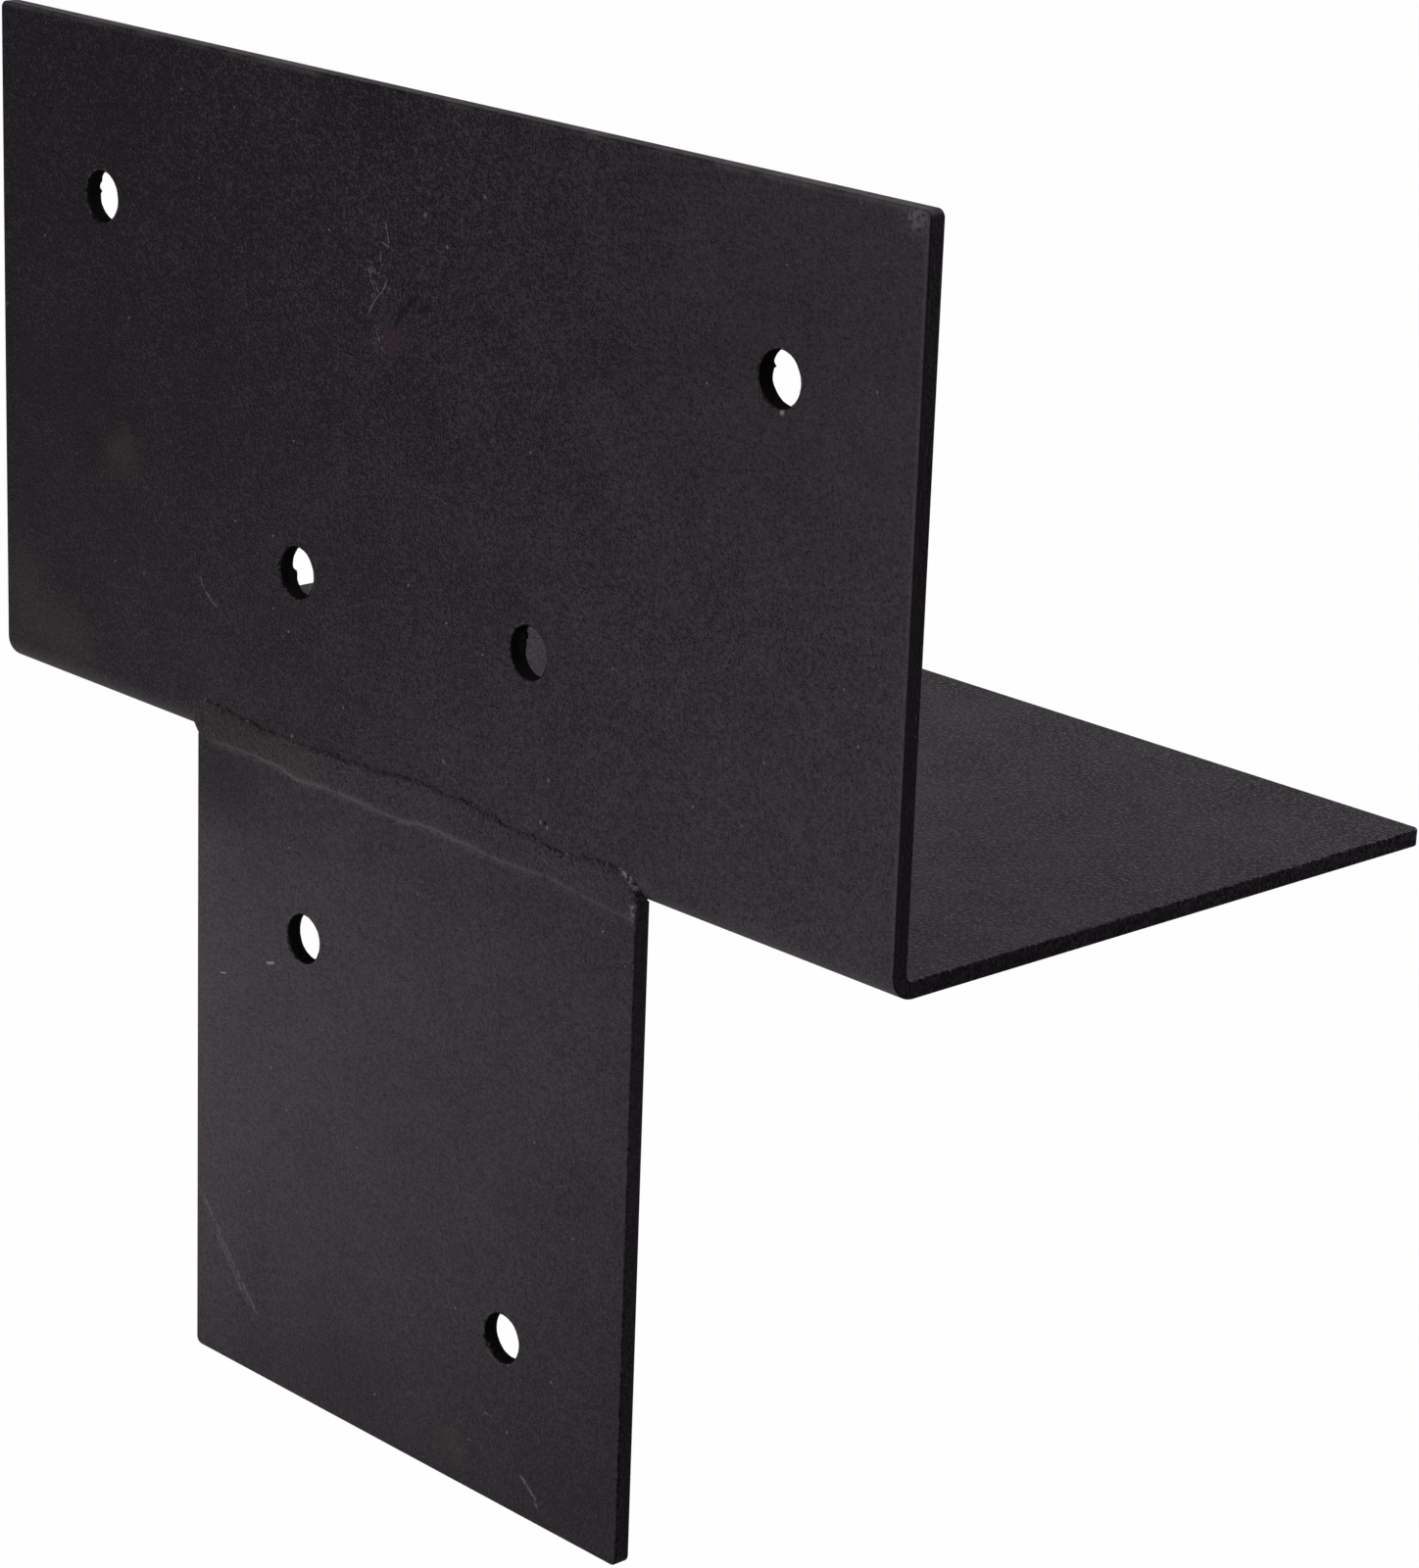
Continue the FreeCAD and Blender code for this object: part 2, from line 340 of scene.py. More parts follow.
class StageSettings(bpy.types.PropertyGroup):
    """Floor, light and camera."""

    floor_drop: FloatProperty(name="Floor drop", description="How far the floor lies under the bracket",
                              subtype="DISTANCE", unit="LENGTH", min=0, default=0.6)
    sky_level: FloatProperty(name="Sky level", description="Plain light from all round",
                             min=0, default=0.1)
    lens: FloatProperty(name="Lens", description="Focal length for a sensor 36 mm long",
                        subtype="DISTANCE_CAMERA", min=1, default=108.165)


class BracketSettings(bpy.types.PropertyGroup):
    """Everything about the bracket that a user may change."""

    coat: PointerProperty(type=CoatSettings)
    weld: PointerProperty(type=WeldSettings)
    stage: PointerProperty(type=StageSettings)


def on_leg(finish):
    """One on the leg, and nought from the plates' common back forwards."""
    return finish.y.ramp(BACK_Y + 1 * MM, BACK_Y + 3 * MM)


def powder_coat(name, blemishes, specular=None):
    """The black powder coat: fine grain, faint clouds, pale specks, and the blemishes of one piece.
    On the leg the grain is calmer, the clouds are stronger, and small mottles join them. Blemishes is a
    function of a finish, its grain and its clouds. It gives shares from nought to one by name: of wear and
    painted highlights, of stain, of darkening by dark marks and painted shade and, if there is any, of smear.
    It may also give the strength of the grain, and painted light and shade about nought that make the coat
    paler or darker. A specular of its own stands in for the coat's usual one."""
    coat = settings().coat
    finish = Finish(name)
    grain = finish.noise(coat.grain_size, detail=4, roughness=0.7)
    fine_size, mottle_size, cloud_size = 0.45 * coat.grain_size, 0.8 * coat.grain_size, 14 * MM
    fine = finish.noise(fine_size, detail=2)
    cloud = finish.noise(cloud_size, detail=3, roughness=0.6)
    speck = finish.dots(spacing=4.5 * MM, radius=0.28 * MM, share=0.5) * 0.5
    leg = on_leg(finish)
    mottle = (finish.noise(mottle_size, detail=3, roughness=0.7).ramp(0.36, 0.64) - 0.5) * leg
    calm = 1 - 0.3 * leg
    marks = blemishes(finish, grain, cloud)

    # How strongly each pattern changes the coat's shade, as shares of its colour
    grain_shade, fine_shade, mottle_shade = 7.0, 6.0, 3.0
    cloud_shade = 0.9 + 2.4 * leg
    # The leg is painted darker throughout, as painted shade
    leg_painted_shade = 0.45 * leg
    darkest = 0.02
    shade = ((grain - 0.5) * grain_shade + (fine - 0.5) * fine_shade) * calm * marks.get("grain", 1.0)
    shade = 1 + shade + (cloud - 0.5) * cloud_shade + mottle * mottle_shade - leg_painted_shade
    # Painted light and shade, given by the blemishes, make the coat paler or darker
    shade = (shade + marks.get("painted_shading", 0.0)).larger(darkest)
    black = finish.vector_math("SCALE", tuple(coat.colour))
    finish.tree.links.new(shade.socket, black.inputs["Scale"])
    colour = finish.mix(marks["stained"], black.outputs[0], (*coat.stain_colour, 1))
    colour = finish.mix(marks.get("smeared", 0.0), colour, (*coat.smear_colour, 1))
    # Dark marks and painted shade darken the colour; wear, painted highlights and pale specks make it paler
    colour = finish.mix(marks["dark"], colour, (0, 0, 0, 1))
    colour = finish.mix(marks["wear_and_highlights"].larger(speck), colour, (*coat.highlight_and_wear_colour, 1))

    # How strongly the patterns change its roughness
    grain_rough, mottle_rough, highlight_and_wear_smooth = 0.8, 0.52, 0.08
    gloss = coat.roughness + (grain - 0.5) * calm * grain_rough + mottle * mottle_rough
    gloss = gloss - highlight_and_wear_smooth * marks["wear_and_highlights"]
    height = grain * calm + 0.5 * fine
    bump = finish.add("ShaderNodeBump", {}, {"Strength": 1.0, "Distance": coat.grain_depth, "Height": height})
    surface = finish.surface
    finish.tree.links.new(colour, surface.inputs["Base Color"])
    finish.tree.links.new(gloss.socket, surface.inputs["Roughness"])
    finish.tree.links.new(bump.outputs[0], surface.inputs["Normal"])
    surface.inputs["Specular IOR Level"].default_value = coat.specular if specular is None else specular
    surface.inputs["Specular Tint"].default_value = (*coat.gloss_tint, 1)
    return finish.material


def undercut_shade(finish, grain, width):
    """Painted shade in the ragged crevice where the bead's upper edge bites into the upright, drawn as a dark
    line broken into dashes. It ends short of the bead's ends, and is faint over a stretch to the right of the
    middle."""
    dashes = finish.noise(4 * MM, detail=4, roughness=0.8).ramp(0.44, 0.54)
    length = finish.x.ramp(-43 * MM, -38 * MM) * finish.x.ramp(47 * MM, 45 * MM)
    faint = finish.x.ramp(20 * MM, 22 * MM) * finish.x.ramp(33 * MM, 31 * MM)
    return finish.path(UPPER_TOE, width) * grain.ramp(0.46, 0.55) * dashes * length * (1 - 0.75 * faint)


def lower_lip_highlight(finish, grain):
    """The painted highlight along the bead's lower lip, strong at its left and faint at its right."""
    strength = 0.06 + 0.09 * finish.x.ramp(40 * MM, 12 * MM)
    ragged = finish.noise(2.2 * MM, detail=3).ramp(0.28, 0.5)
    begun = finish.x.ramp(-49 * MM, -42 * MM)
    return finish.path(LOWER_TOE, 2.2) * begun * ragged * (0.7 + 0.6 * grain) * strength


def hole_rim_highlights(finish, grain):
    """The thin painted highlights on the holes' rims, broken by the grain."""
    rims = largest(finish.ring((across, up), radius + 0.1, 0.5) for across, up, radius, _ in HOLES)
    return rims * grain.ramp(0.42, 0.6)


def cut_side_shade(finish, edge):
    """One on a plate's two cut sides, as far from the middle as its edge is, and nought between them: where
    painted shade darkens the sides.
    """
    return abs(finish.x).ramp(edge - 0.3 * MM, edge - 0.1 * MM)


def sheet_painted_shading(finish):
    """Painted light and shade over the upright's front, which make its coat paler or darker: palest at the
    lower right. It is the sum of a slope and a curve across, a slope and a curve up, and a twist between the
    two."""
    level, twist = -0.02, 10
    slope_across, curve_across = 6.6, 16
    slope_up, curve_up = -10, 57
    x, z = finish.x, finish.z
    front = finish.y.ramp(FRONT_Y + 1.8 * MM, FRONT_Y + 0.6 * MM)
    across = x * (slope_across + curve_across * x + twist * z)
    return (level + across + z * (slope_up + curve_up * z)) * front


def leg_painted_shading(finish):
    """Painted light and shade over the leg: paler near the bend, darker towards the far right."""
    level, slope_across, slope_back = 0.7, -10, -7.5
    slope_from = 30 * MM
    return (level + slope_across * finish.x.larger(slope_from) + slope_back * finish.y) * on_leg(finish)


def plate_painted_shading(finish):
    """Painted light and shade over the post plate, which make its coat paler: palest at its left, least so at
    the foot and under the bead, where painted shadow falls. It is the sum of a slope and a curve up, a twist
    that grows with height, and two soft edges."""
    level, slope_up, curve_up = 0.5, -11, -200
    twist, twist_growth = 385, 3400
    x, z = finish.x, finish.z
    left_edge_light = 0.25 * x.ramp(-34 * MM, -50 * MM)
    shade_under_bead = z.ramp(-20 * MM, -6 * MM) * (0.3 + 0.6 * x.ramp(-24 * MM, -46 * MM))
    face = level + z * (slope_up + curve_up * z) + x * z * (twist + twist_growth * z)
    return face + left_edge_light - shade_under_bead


def beam_blemishes(finish, grain, cloud):
    """Marks on the bent sheet: hairs and flecks at the middle of its front, pale specks with painted glints
    by the largest drop and the bead, a painted highlight on a burr under the right hole, a rubbed top right
    corner, painted highlights along its top and right edges and its hole rims, a painted sheen along its
    bend, brown stains, dark scratches with a reddish smear, painted shade along the bead's upper edge and on
    the cut sides, and painted light and shade over the front and the leg."""
    top, right = SHEET_HIGH.z, SHEET_HIGH.x
    broken = grain.ramp(0.40, 0.55)
    flecks = finish.patch((-8.2, 79.2), 11).larger(finish.patch((-7.4, 70.4), 6)) * grain.ramp(0.54, 0.66)
    hairs = finish.scratches((points, HAIR_WIDTH, HAIR_STRENGTH) for points in HAIRS)
    small = finish.path(((-50, 25.1), (-49.2, 23.4), (-45, 20.8)), 0.9)
    # A painted highlight on the burr under the right hole
    burr = finish.patch((76.1, 76.0), 1.4)
    specks = largest(finish.patch(place, SPECK_WIDTH) for place in SPECKS_AND_GLINTS)
    corner = finish.patch((right / MM - 2.6, top / MM - 1.2), 7)
    # Painted highlights along the top edge and the right edge, and a painted sheen along the bend
    top_edge_highlight = finish.z.ramp(top - 1.0 * MM, top - 0.2 * MM) * cloud.ramp(0.4, 0.6)
    right_edge_highlight = finish.x.ramp(right - 1.1 * MM, right - 0.4 * MM) * finish.y.ramp(FRONT_Y + 0.6 * MM, FRONT_Y)
    bend = finish.z.ramp(3.0 * MM, 1.2 * MM) * finish.y.ramp(FRONT_Y + 3 * MM, FRONT_Y)
    wear_and_highlights = largest((
        (flecks * 0.3).larger(hairs) * (0.5 + 0.5 * broken),
        small * broken * 0.3,
        burr * 0.9,
        specks * SPECK_STRENGTH,
        corner * broken * 0.3,
        top_edge_highlight * 0.12,
        right_edge_highlight * 0.06,
        bend * 0.04,
        hole_rim_highlights(finish, grain) * 0.16,
    ))
    stained = finish.patch((-70.9, 41.9), 16) * cloud.ramp(0.3, 0.6) * 0.3
    stained = stained.larger(finish.path(((-97, 14), (-95, 9), (-84, 7)), 18) * 0.22)
    smeared = finish.patch((-4.8, 70.9), 9) * cloud.ramp(0.3, 0.5) * 0.9
    dark = largest((
        finish.scratches(DARK_SCRATCHES),
        # Painted shade in the crevice along the bead's upper edge
        undercut_shade(finish, grain, 1.7) * 0.7,
        # Painted shade on the cut sides
        cut_side_shade(finish, right) * 0.95,
    ))
    strength = 0.88 + finish.z.ramp(40 * MM, 80 * MM) * (0.22 - 0.5 * finish.x.ramp(-20 * MM, 80 * MM))
    return {"wear_and_highlights": wear_and_highlights, "stained": stained, "smeared": smeared, "dark": dark,
            "painted_shading": sheet_painted_shading(finish) + leg_painted_shading(finish), "grain": strength}


def post_blemishes(finish, grain, cloud):
    """Marks on the post plate: its scratches, a painted highlight along the bead's lip, painted highlights on
    the hole rims, a brown stain, a darker area at its foot, painted shadow under the bead's left end, and
    painted light and shade over the whole plate.
    """
    broken = grain.ramp(0.38, 0.6)
    wear_and_highlights = largest((
        finish.scratches(ROUGH_SCRATCHES) * broken,
        finish.scratches(CLEAN_SCRATCHES),
        lower_lip_highlight(finish, grain) * 0.6,
        hole_rim_highlights(finish, grain) * 0.3,
    ))
    stained = finish.patch((13.9, -98.0), 9) * cloud.ramp(0.35, 0.6) * 0.5
    # A darker area at the foot, and painted shadow under the bead's left end
    dark = (finish.patch((-12, -95), 30) * 0.15).larger(finish.patch((-44, -7), 22) * 0.3)
    return {"wear_and_highlights": wear_and_highlights, "stained": stained, "dark": dark, "painted_shading": plate_painted_shading(finish), "grain": 0.85}


def hole_blemishes(finish, grain, cloud):
    """Marks in the holes: painted shade darkens the coat inside them and painted light lifts it, and a
    painted highlight lies on a drip in the lowest one.
    """
    # The drip's painted highlight
    drip = finish.path(((20.9, -77.4), (21.7, -78.5), (22.5, -78.1)), 1.3) * 0.25
    return {"wear_and_highlights": drip, "stained": cloud * 0.1, "dark": 0.62 + 0.1 * cloud, "painted_shading": 0.6, "grain": 0.3}


def assign(node_name, material):
    """Gives a node of the frame one finish, in place of any it has."""
    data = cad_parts[node_name].data
    data.materials.clear()
    data.materials.append(material)


class BRACKET_OT_coat_plates(bpy.types.Operator):
    """Coats the bent sheet and the post plate, each with its own marks"""

    bl_idname = "bracket.coat_plates"
    bl_label = "Coat the plates"

    def execute(self, context):
        assign("beam_angle", powder_coat("beam_coat", beam_blemishes))
        assign("post_plate", powder_coat("post_coat", post_blemishes))
        return {"FINISHED"}


def smooth_step(share):
    """A share from nought to one, flat at both of its ends."""
    return share * share * (3 - 2 * share)


def lattice_noise(rows, columns, row_step, column_step, random):
    """Smooth noise on a grid, about nought: random heights at lattice points, joined by smooth steps."""
    heights = random.uniform(-1, 1, (int(rows / row_step) + 3, int(columns / column_step) + 3))
    along = np.arange(rows)[:, None] / row_step
    across = np.arange(columns)[None, :] / column_step
    i, j = along.astype(int), across.astype(int)
    u, v = smooth_step(along - i), smooth_step(across - j)
    low = heights[i, j] * (1 - v) + heights[i, j + 1] * v
    high = heights[i + 1, j] * (1 - v) + heights[i + 1, j + 1] * v
    return low * (1 - u) + high * u


def smooth_line(points, places):
    """A line through points, flat at each of them, read at an array of places."""
    x, y = np.array(points).T
    k = np.clip(np.searchsorted(x, places) - 1, 0, len(x) - 2)
    t = smooth_step(np.clip((places - x[k]) / (x[k + 1] - x[k]), 0, 1))
    return y[k] * (1 - t) + y[k + 1] * t


def new_mesh(name, vertices, faces):
    """A mesh of vertices and faces."""
    mesh = bpy.data.meshes.new(name)
    mesh.from_pydata(vertices, [], faces)
    mesh.validate()
    return mesh


def band_faces(rings, next_rings):
    """The four-sided faces between closed rings and the rings that follow them, as vertex numbers."""
    beside, next_beside = np.roll(rings, -1, axis=1), np.roll(next_rings, -1, axis=1)
    return np.stack([rings, beside, next_beside, next_rings], axis=-1).reshape(-1, 4).tolist()


def closed_tube(name, rings, start, end):
    """A mesh of closed rings, joined one to the next, with each end drawn in to a point."""
    count, around = rings.shape[:2]
    vertices = np.concatenate([rings.reshape(-1, 3), [start], [end]])
    number = np.arange(count * around).reshape(count, around)
    beside = np.roll(number, -1, axis=1)
    first, last = count * around, count * around + 1
    first_fan = np.stack([np.full(around, first), beside[0], number[0]], axis=-1)
    last_fan = np.stack([np.full(around, last), number[-1], beside[-1]], axis=-1)
    bands = band_faces(number[:-1], number[1:])
    return new_mesh(name, vertices, bands + first_fan.tolist() + last_fan.tolist())


def closed_ring(name, rings):
    """A mesh of closed rings, each joined to the next and the last to the first."""
    count, around = rings.shape[:2]
    number = np.arange(count * around).reshape(count, around)
    return new_mesh(name, rings.reshape(-1, 3), band_faces(number, np.roll(number, -1, axis=0)))


def enclosed_volume(mesh):
    """Six times the volume that a closed mesh encloses, positive where its faces point outwards."""
    mesh.calc_loop_triangles()
    corners = np.empty(len(mesh.vertices) * 3)
    mesh.vertices.foreach_get("co", corners)
    corners = corners.reshape(-1, 3)
    triangles = np.empty(len(mesh.loop_triangles) * 3, int)
    mesh.loop_triangles.foreach_get("vertices", triangles)
    a, b, c = corners[triangles.reshape(-1, 3)].transpose(1, 0, 2)
    return float(np.einsum("ij,ij->", a, np.cross(b, c)))


def show_piece(mesh, material):
    """Puts a mesh in the scene as a smooth piece that rides on the bracket."""
    if enclosed_volume(mesh) < 0:
        mesh.flip_normals()
    mesh.shade_smooth()
    mesh.materials.append(material)
    piece = bpy.data.objects.new(mesh.name, mesh)
    bpy.context.scene.collection.objects.link(piece)
    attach(piece, "root")
    return piece


def bead_blemishes(finish, grain, cloud):
    """The bead's own marks: a painted highlight along its lower edge, painted shade in dark bites and a few
    painted glints along its upper one, a brown film and painted shade towards its left end, painted light
    over the rest, and painted highlights round its right end."""
    tip_highlights = finish.scratches(BEAD_TIP_HIGHLIGHTS) * grain.ramp(0.4, 0.55)
    glints = finish.path(UPPER_TOE, 2.6) * finish.noise(0.9 * MM, detail=1).ramp(0.66, 0.74)
    wear_and_highlights = largest((lower_lip_highlight(finish, grain), tip_highlights * 0.9, glints * 0.4))
    film = finish.x.ramp(-16 * MM, -28 * MM) * finish.z.ramp(6.5 * MM, 4.5 * MM) * cloud
    # Painted shade in the crevice along the bead's upper edge
    dark = undercut_shade(finish, grain, 1.6) * 0.9
    # Painted shade towards the bead's left end, and painted light over the rest of it
    painted_shading = 0.3 - 0.6 * finish.x.ramp(-28 * MM, -42 * MM)
    return {"wear_and_highlights": wear_and_highlights, "stained": film * 0.35, "dark": dark, "painted_shading": painted_shading}


def drop_blemishes(finish, grain, cloud):
    """A drop's own marks: painted highlights at the left and right of the largest drop, and painted light
    that makes every drop paler.
    """
    wear_and_highlights = finish.patch((30.1, 6.8), 1.0).larger(finish.patch((31.5, 6.4), 1.2))
    return {"wear_and_highlights": wear_and_highlights, "stained": cloud * 0.1, "dark": cloud * 0.1, "painted_shading": 0.4}


def bead_rings(weld):
    """The bead's closed rings, one to a station along it, and the two points that close its ends.
    In front each ring is a flat arch between its toes: one less a power of the share across. The power is
    six, and it falls to two at the left end, where the bead sinks into the upright. Ripples and grit roughen
    it. Behind, it follows the groove, a hair inside the steel. Each end is a quarter of an ellipse along the
    bead, and the left one slants inwards below the bend, down to the post plate's edge."""
    left, right = -52.6 * MM, 51.1 * MM
    left_draw, right_draw = 2.0 * MM, 0.8 * MM
    stations, end_stations, front_count = 460, 12, 48
    turn = np.linspace(0, np.pi / 2, end_stations + 2)[1:-1]
    x = np.concatenate([
        left + left_draw * (1 - np.cos(turn)),
        np.linspace(left + left_draw, right - right_draw, stations),
        right - right_draw * (1 - np.sin(turn)),
    ])
    shrink = np.concatenate([np.sin(turn), np.ones(stations), np.cos(turn)])
    random = np.random.default_rng(RANDOM_SEED)
    rows = len(x)

    # Each toe wanders in slow and quick waves, less so at the upper toe's left end. A wave has its height and
    # the number of stations from one of its random heights to the next
    body = smooth_line(((-53, 0), (-42, 1), (51, 1)), x / MM)
    upper = smooth_line(UPPER_TOE, x / MM) * MM
    lower = smooth_line(LOWER_TOE, x / MM) * MM
    for height, step in ((0.30 * MM, 6), (0.16 * MM, 2)):
        upper += height * body * lattice_noise(rows, 1, step, 1, random)[:, 0]
    for height, step in ((0.18 * MM, 9), (0.07 * MM, 3)):
        lower += height * lattice_noise(rows, 1, step, 1, random)[:, 0]

    # The arch in front, with its ripples and grit
    angle = np.linspace(np.pi / 2, -np.pi / 2, front_count)
    across = np.sin(angle)[None, :]
    middle = ((upper + lower) / 2)[:, None]
    half = ((upper - lower) / 2)[:, None]
    z = middle + half * across
    power = 2 + 4 * body[:, None]
    arch = 1 - np.abs(across)**power
    swell = (0.6 + 0.4 * body[:, None]) * (1 + 0.2 * lattice_noise(rows, 1, 30, 1, random))
    ripple_bow = 1.6 * MM
    curve = x[:, None] + ripple_bow * across**2
    ripple = np.sin(2 * np.pi * curve / weld.ripple_pitch + 1.5 * lattice_noise(rows, 1, 20, 1, random))
    grit = lattice_noise(rows, front_count, 2.2, 2.2, random) + lattice_noise(rows, front_count, 5, 4, random)
    grit = grit * (1 + 2.0 * np.clip(across, 0, 1)**3)
    raised = weld.crown * swell + weld.ripple_depth * ripple + weld.grit_depth * grit
    front = np.stack([FRONT_Y - arch * raised, z], axis=-1)

    # Behind, the ring follows the plate's top edge and then the bend, a hair inside them
    hair = 0.1 * MM
    root_y = BACK_Y - 0.2 * MM
    bend_y, bend_z = FRONT_Y + BEND_RADIUS, BEND_RADIUS
    inside = BEND_RADIUS - hair
    sunk_y = FRONT_Y + 3 * hair
    rise = np.linspace(np.arcsin((bend_y - root_y) / inside), np.pi / 2, 9)
    groove = np.stack([bend_y - inside * np.sin(rise), bend_z - inside * np.cos(rise)], axis=-1)
    behind = np.concatenate([[[sunk_y, -2 * hair], [root_y, -hair]], groove])
    behind = np.broadcast_to(behind, (rows, *behind.shape))
    sunk_lower = np.stack([np.full(rows, sunk_y), lower + hair], axis=-1)[:, None]
    sunk_upper = np.stack([np.full(rows, sunk_y), upper - hair], axis=-1)[:, None]
    ring = np.concatenate([front, sunk_lower, behind, sunk_upper], axis=1)

    # The ends shrink round a point deep in the bead, and the left one slants
    heart = np.array([FRONT_Y + 0.8 * MM, 2.6 * MM])
    ring = heart + (ring - heart) * shrink[:, None, None]
    slant_high, slant_low, slant_reach = 1.8 * MM, -0.8 * MM, -40 * MM
    slant = np.clip((slant_high - ring[..., 1]) / (slant_high - slant_low), 0, 1)
    towards_end = np.clip((slant_reach - x) / (slant_reach - left), 0, 1)[:, None]
    along = x[:, None] + slant * (PLATE_LOW.x - left) * towards_end
    rings = np.concatenate([along[..., None], ring], axis=-1)
    return rings, (left, *heart), (right, *heart)


class BRACKET_OT_lay_weld(bpy.types.Operator):
    """Lays the weld bead in the groove between the bend and the post plate"""

    bl_idname = "bracket.lay_weld"
    bl_label = "Lay the weld"

    def execute(self, context):
        rings, start, end = bead_rings(settings().weld)
        mesh = closed_tube("weld_bead_rippled", rings, start, end)
        piece = show_piece(mesh, powder_coat("weld_coat", bead_blemishes))
        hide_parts("weld_bead")
        return {"FINISHED"}


def drop_mesh(name, x, z, radius, random):
    """A drop of weld metal: a flat ball sunk halfway into the plate, its outline a little uneven.
    It is a surface of latitude and longitude, with the radius changed by two slow waves round it."""
    flatness = 0.6
    latitude = np.linspace(-np.pi / 2, np.pi / 2, 11)[1:-1]
    longitude = np.linspace(0, 2 * np.pi, 20, endpoint=False)
    phase = random.uniform(0, 2 * np.pi, 2)
    uneven = 1 + 0.12 * np.sin(2 * longitude + phase[0]) + 0.08 * np.sin(3 * longitude + phase[1])
    spread = radius * np.cos(latitude)[:, None] * uneven[None, :]
    height = flatness * radius
    y = FRONT_Y - height * np.sin(latitude)
    rings = np.stack([x + spread * np.cos(longitude), np.broadcast_to(y[:, None], spread.shape),
                      z + spread * np.sin(longitude)], axis=-1)
    start = (x, FRONT_Y + height, z)
    end = (x, FRONT_Y - height, z)
    return closed_tube(name, rings, start, end)


class BRACKET_OT_throw_spatter(bpy.types.Operator):
    """Adds the small drops of weld metal on the upright plate beside the bead"""

    bl_idname = "bracket.throw_spatter"
    bl_label = "Throw spatter"

    def execute(self, context):
        random = np.random.default_rng(RANDOM_SEED)
        material = powder_coat("drop_coat", drop_blemishes)
        for number, (across, up, radius) in enumerate(SPATTER, start=1):
            mesh = drop_mesh(f"weld_drop_{number}", across * MM, up * MM, radius * MM, random)
            show_piece(mesh, material)
        return {"FINISHED"}


def lining_rings(across, up, radius, lumps, random):
    """The coat that lines one hole, as profiles set round it: thin, thicker halfway through, and sunk in the
    steel behind, a little short of both faces. Its thickness waves by a sum of sines, and each lump adds a
    bell that falls off with the square of the gap round the hole and through the sheet."""
    thickness, unevenness, lump_length, short = 0.2, 0.35, 0.25, 0.15
    turn = np.linspace(0, 2 * np.pi, 144, endpoint=False)[:, None]
    share = np.linspace(0, 1, 16)[None, :]
    waves = np.array([2, 3, 5, 9, 17, 31])
    phases = random.uniform(0, 2 * np.pi, len(waves))
    uneven = sum(np.sin(k * turn + phase + 1.5 * share) / math.sqrt(k) for k, phase in zip(waves, phases))
    thick = thickness * (0.6 + 0.4 * np.sin(np.pi * share)) * (1 + unevenness * uneven)
    for degrees, place, height, width in lumps:
        gap = (turn - math.radians(degrees) + np.pi) % (2 * np.pi) - np.pi
        thick = thick + height * np.exp(-(gap * radius / width)**2 - ((share - place) / lump_length)**2)
    front, back = FRONT_Y / MM + short, BACK_Y / MM - short
    sunk = np.broadcast_to([0.1, 0.4, 0.4, 0.1], (len(turn), 4))
    sunk_depth = [back - 0.1, back - 0.5, front + 0.5, front + 0.1]
    out = np.concatenate([-thick, sunk], axis=1)
    depth = np.concatenate([front + (back - front) * share[0], sunk_depth])
    x = across + (radius + out) * np.cos(turn)
    z = up + (radius + out) * np.sin(turn)
    return np.stack([x, np.broadcast_to(depth, x.shape), z], axis=-1) * MM


class BRACKET_OT_line_holes(bpy.types.Operator):
    """Lines the holes with coat over the nibs and drips that the cutting left"""

    bl_idname = "bracket.line_holes"
    bl_label = "Line the holes"

    def execute(self, context):
        random = np.random.default_rng(RANDOM_SEED)
        material = powder_coat("hole_coat", hole_blemishes, specular=0)
        for number, hole in enumerate(HOLES, start=1):
            mesh = closed_ring(f"hole_lining_{number}", lining_rings(*hole, random))
            show_piece(mesh, material)
        return {"FINISHED"}


class BRACKET_OT_set_stage(bpy.types.Operator):
    """Sets the floor, the light all round, the soft boxes and the camera"""

    bl_idname = "bracket.set_stage"
    bl_label = "Set the stage"

    def execute(self, context):
        scene = context.scene
        stage = settings().stage
        scene.view_settings.view_transform = "Standard"
        set_sky(scene, stage)
        lay_floor(scene, stage)
        for name, box in SOFT_BOXES.items():
            hang_soft_box(scene, name, *box)
        place_camera(scene, stage)
        return {"FINISHED"}


def seen_white(nodes):
    """One for rays from the camera, and for those that a gloss or a clear piece sends on."""
    path = nodes.add("ShaderNodeLightPath").outputs
    seen = Value(nodes, path["Is Camera Ray"]) + Value(nodes, path["Is Glossy Ray"])
    return (seen + Value(nodes, path["Is Transmission Ray"])).ramp(0, 1)


def set_sky(scene, stage):
    """A white world that gives plain light from all round, and looks fully white."""
    world = bpy.data.worlds.new("sky")
    world.use_nodes = True
    scene.world = world
    nodes = Nodes(world.node_tree)
    seen = seen_white(nodes)
    strength = stage.sky_level + (1 - stage.sky_level) * seen
    background = world.node_tree.nodes["Background"]
    background.inputs["Color"].default_value = (1, 1, 1, 1)
    world.node_tree.links.new(strength.socket, background.inputs["Strength"])


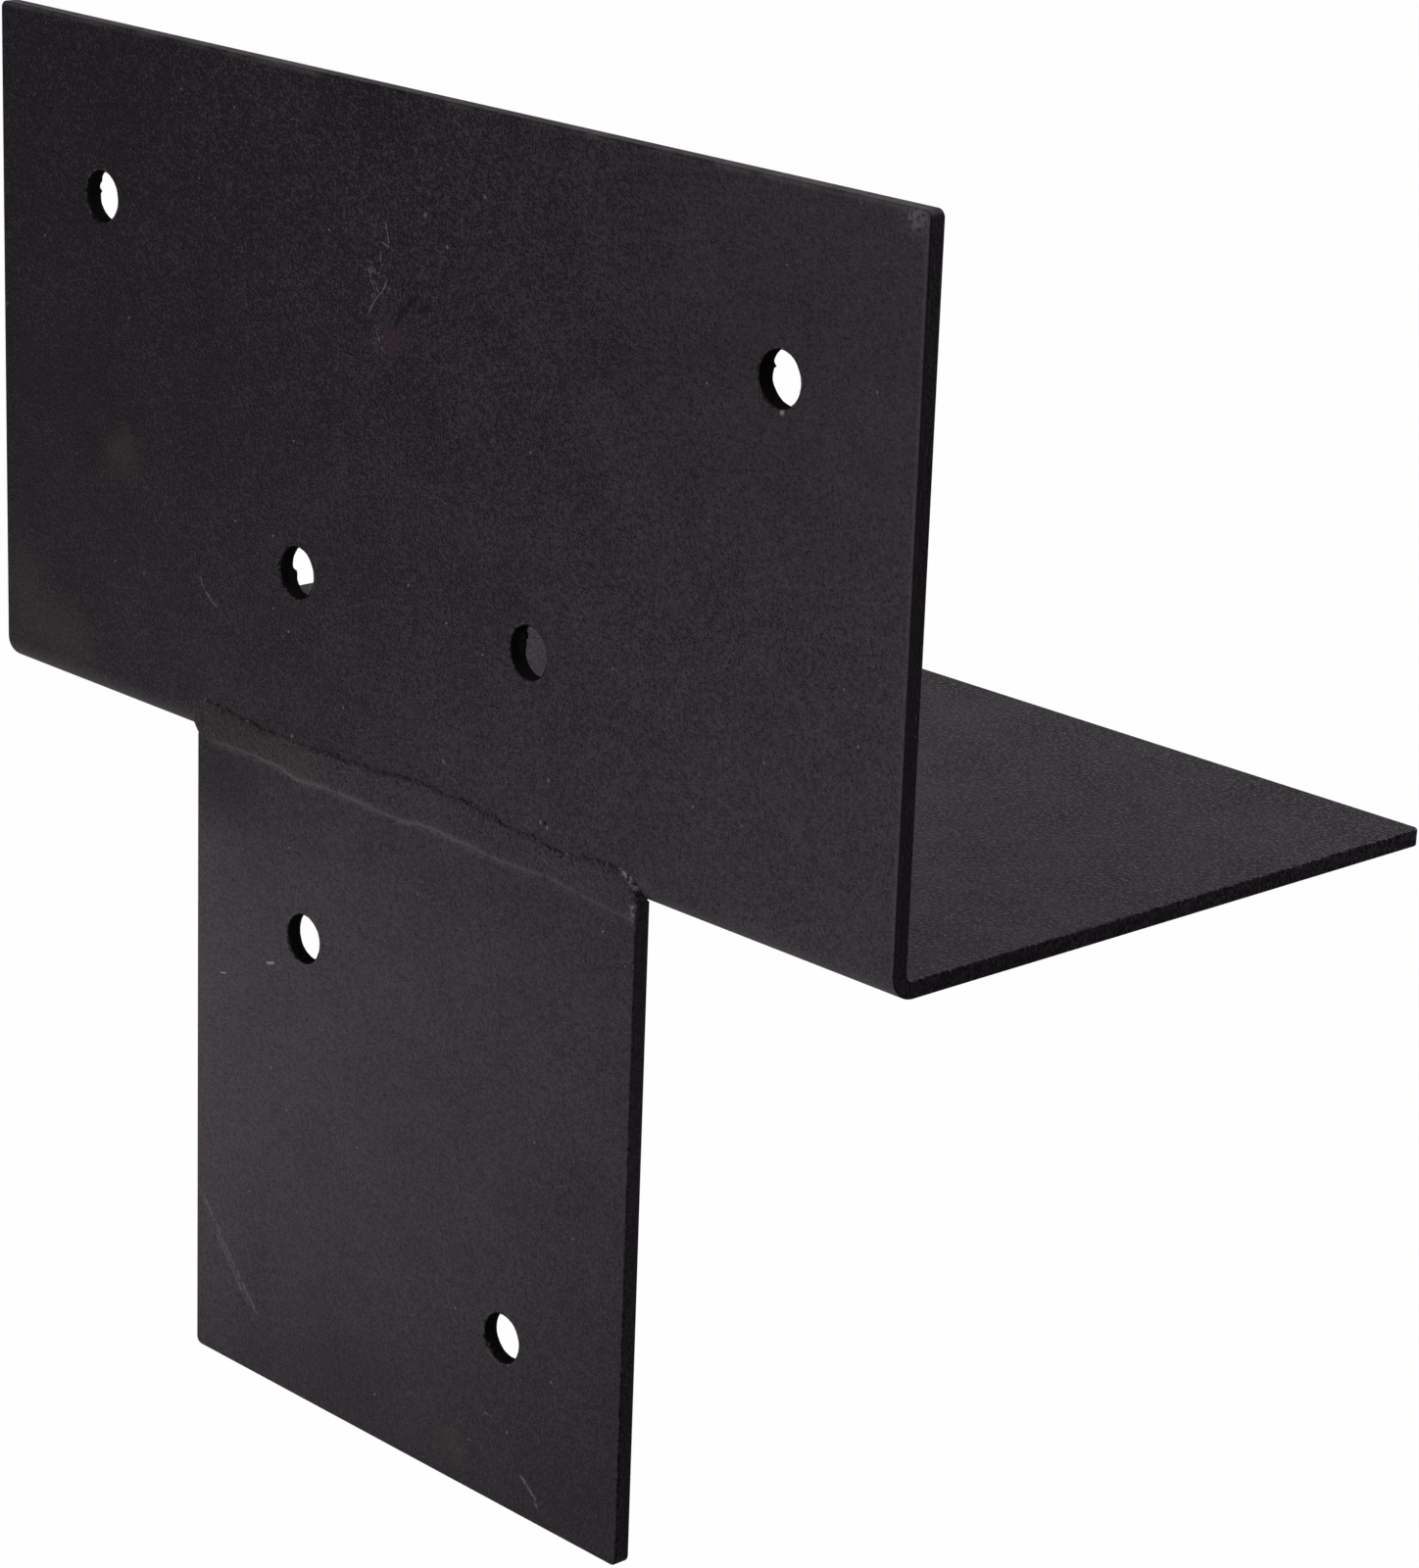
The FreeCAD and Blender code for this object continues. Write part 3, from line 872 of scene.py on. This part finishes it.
def lay_floor(scene, stage):
    """A wide pale floor under the bracket. To the camera it is mostly its own white, and a little the light
    on it."""
    level = PLATE_LOW.z - stage.floor_drop
    reach = 14.0
    own_white = 0.99
    corners = [(-reach, -reach, level), (reach, -reach, level), (reach, reach, level), (-reach, reach, level)]
    mesh = new_mesh("floor", corners, [(0, 1, 2, 3)])
    finish = Finish("pale_floor")
    surface = finish.surface
    surface.inputs["Base Color"].default_value = (0.8, 0.8, 0.8, 1)
    surface.inputs["Roughness"].default_value = 0.9
    surface.inputs["Specular IOR Level"].default_value = 0
    white = finish.add("ShaderNodeEmission", inputs={"Color": (1, 1, 1, 1), "Strength": 1.0})
    share = own_white * seen_white(finish)
    mixed = finish.add("ShaderNodeMixShader", inputs={0: share, 1: surface.outputs[0], 2: white.outputs[0]})
    output = finish.tree.nodes["Material Output"]
    finish.tree.links.new(mixed.outputs[0], output.inputs["Surface"])
    mesh.materials.append(finish.material)
    floor = bpy.data.objects.new("floor", mesh)
    scene.collection.objects.link(floor)


def hang_soft_box(scene, name, place, size, power, green):
    """A square soft light that faces the middle of the bracket."""
    light = bpy.data.lights.new(name, "AREA")
    light.size = size
    light.energy = power
    light.color = (1, green, 1)
    box = bpy.data.objects.new(name, light)
    box.visible_camera = False
    box.location = place
    box.rotation_euler = Vector(place).to_track_quat("Z", "Y").to_euler()
    scene.collection.objects.link(box)


def place_camera(scene, stage):
    """The camera, to the right of the bracket's front and a little above it."""
    camera = bpy.data.cameras.new("camera")
    camera.lens = stage.lens
    camera.sensor_width = 36
    camera.clip_start = 0.01
    holder = bpy.data.objects.new("camera", camera)
    holder.location = CAMERA_PLACE
    holder.rotation_euler = Euler([math.radians(angle) for angle in CAMERA_ANGLES])
    scene.collection.objects.link(holder)
    scene.camera = holder


class BRACKET_PT_panel(bpy.types.Panel):
    """The bracket's tools and settings"""

    bl_idname = "BRACKET_PT_panel"
    bl_label = "Post extension bracket"
    bl_space_type = "VIEW_3D"
    bl_region_type = "UI"
    bl_category = "Bracket"

    def draw(self, context):
        layout = self.layout
        for group in (context.scene.bracket.coat, context.scene.bracket.weld, context.scene.bracket.stage):
            box = layout.box()
            for name in group.__annotations__:
                box.prop(group, name)
        for step in STEPS:
            layout.operator(step.bl_idname)


STEPS = (BRACKET_OT_coat_plates, BRACKET_OT_lay_weld, BRACKET_OT_throw_spatter, BRACKET_OT_line_holes,
         BRACKET_OT_set_stage)
CLASSES = (CoatSettings, WeldSettings, StageSettings, BracketSettings, *STEPS, BRACKET_PT_panel)


def register():
    """Registers the classes, and keeps the bracket's settings on the scene."""
    for each in CLASSES:
        bpy.utils.register_class(each)
    bpy.types.Scene.bracket = PointerProperty(type=BracketSettings)


def unregister():
    """Takes the settings and the classes away again."""
    del bpy.types.Scene.bracket
    for each in reversed(CLASSES):
        bpy.utils.unregister_class(each)


def main():
    """Makes the bracket and its stage."""
    register()
    bpy.ops.bracket.coat_plates()
    bpy.ops.bracket.lay_weld()
    bpy.ops.bracket.throw_spatter()
    bpy.ops.bracket.line_holes()
    bpy.ops.bracket.set_stage()


if __name__ == "__main__":
    main()
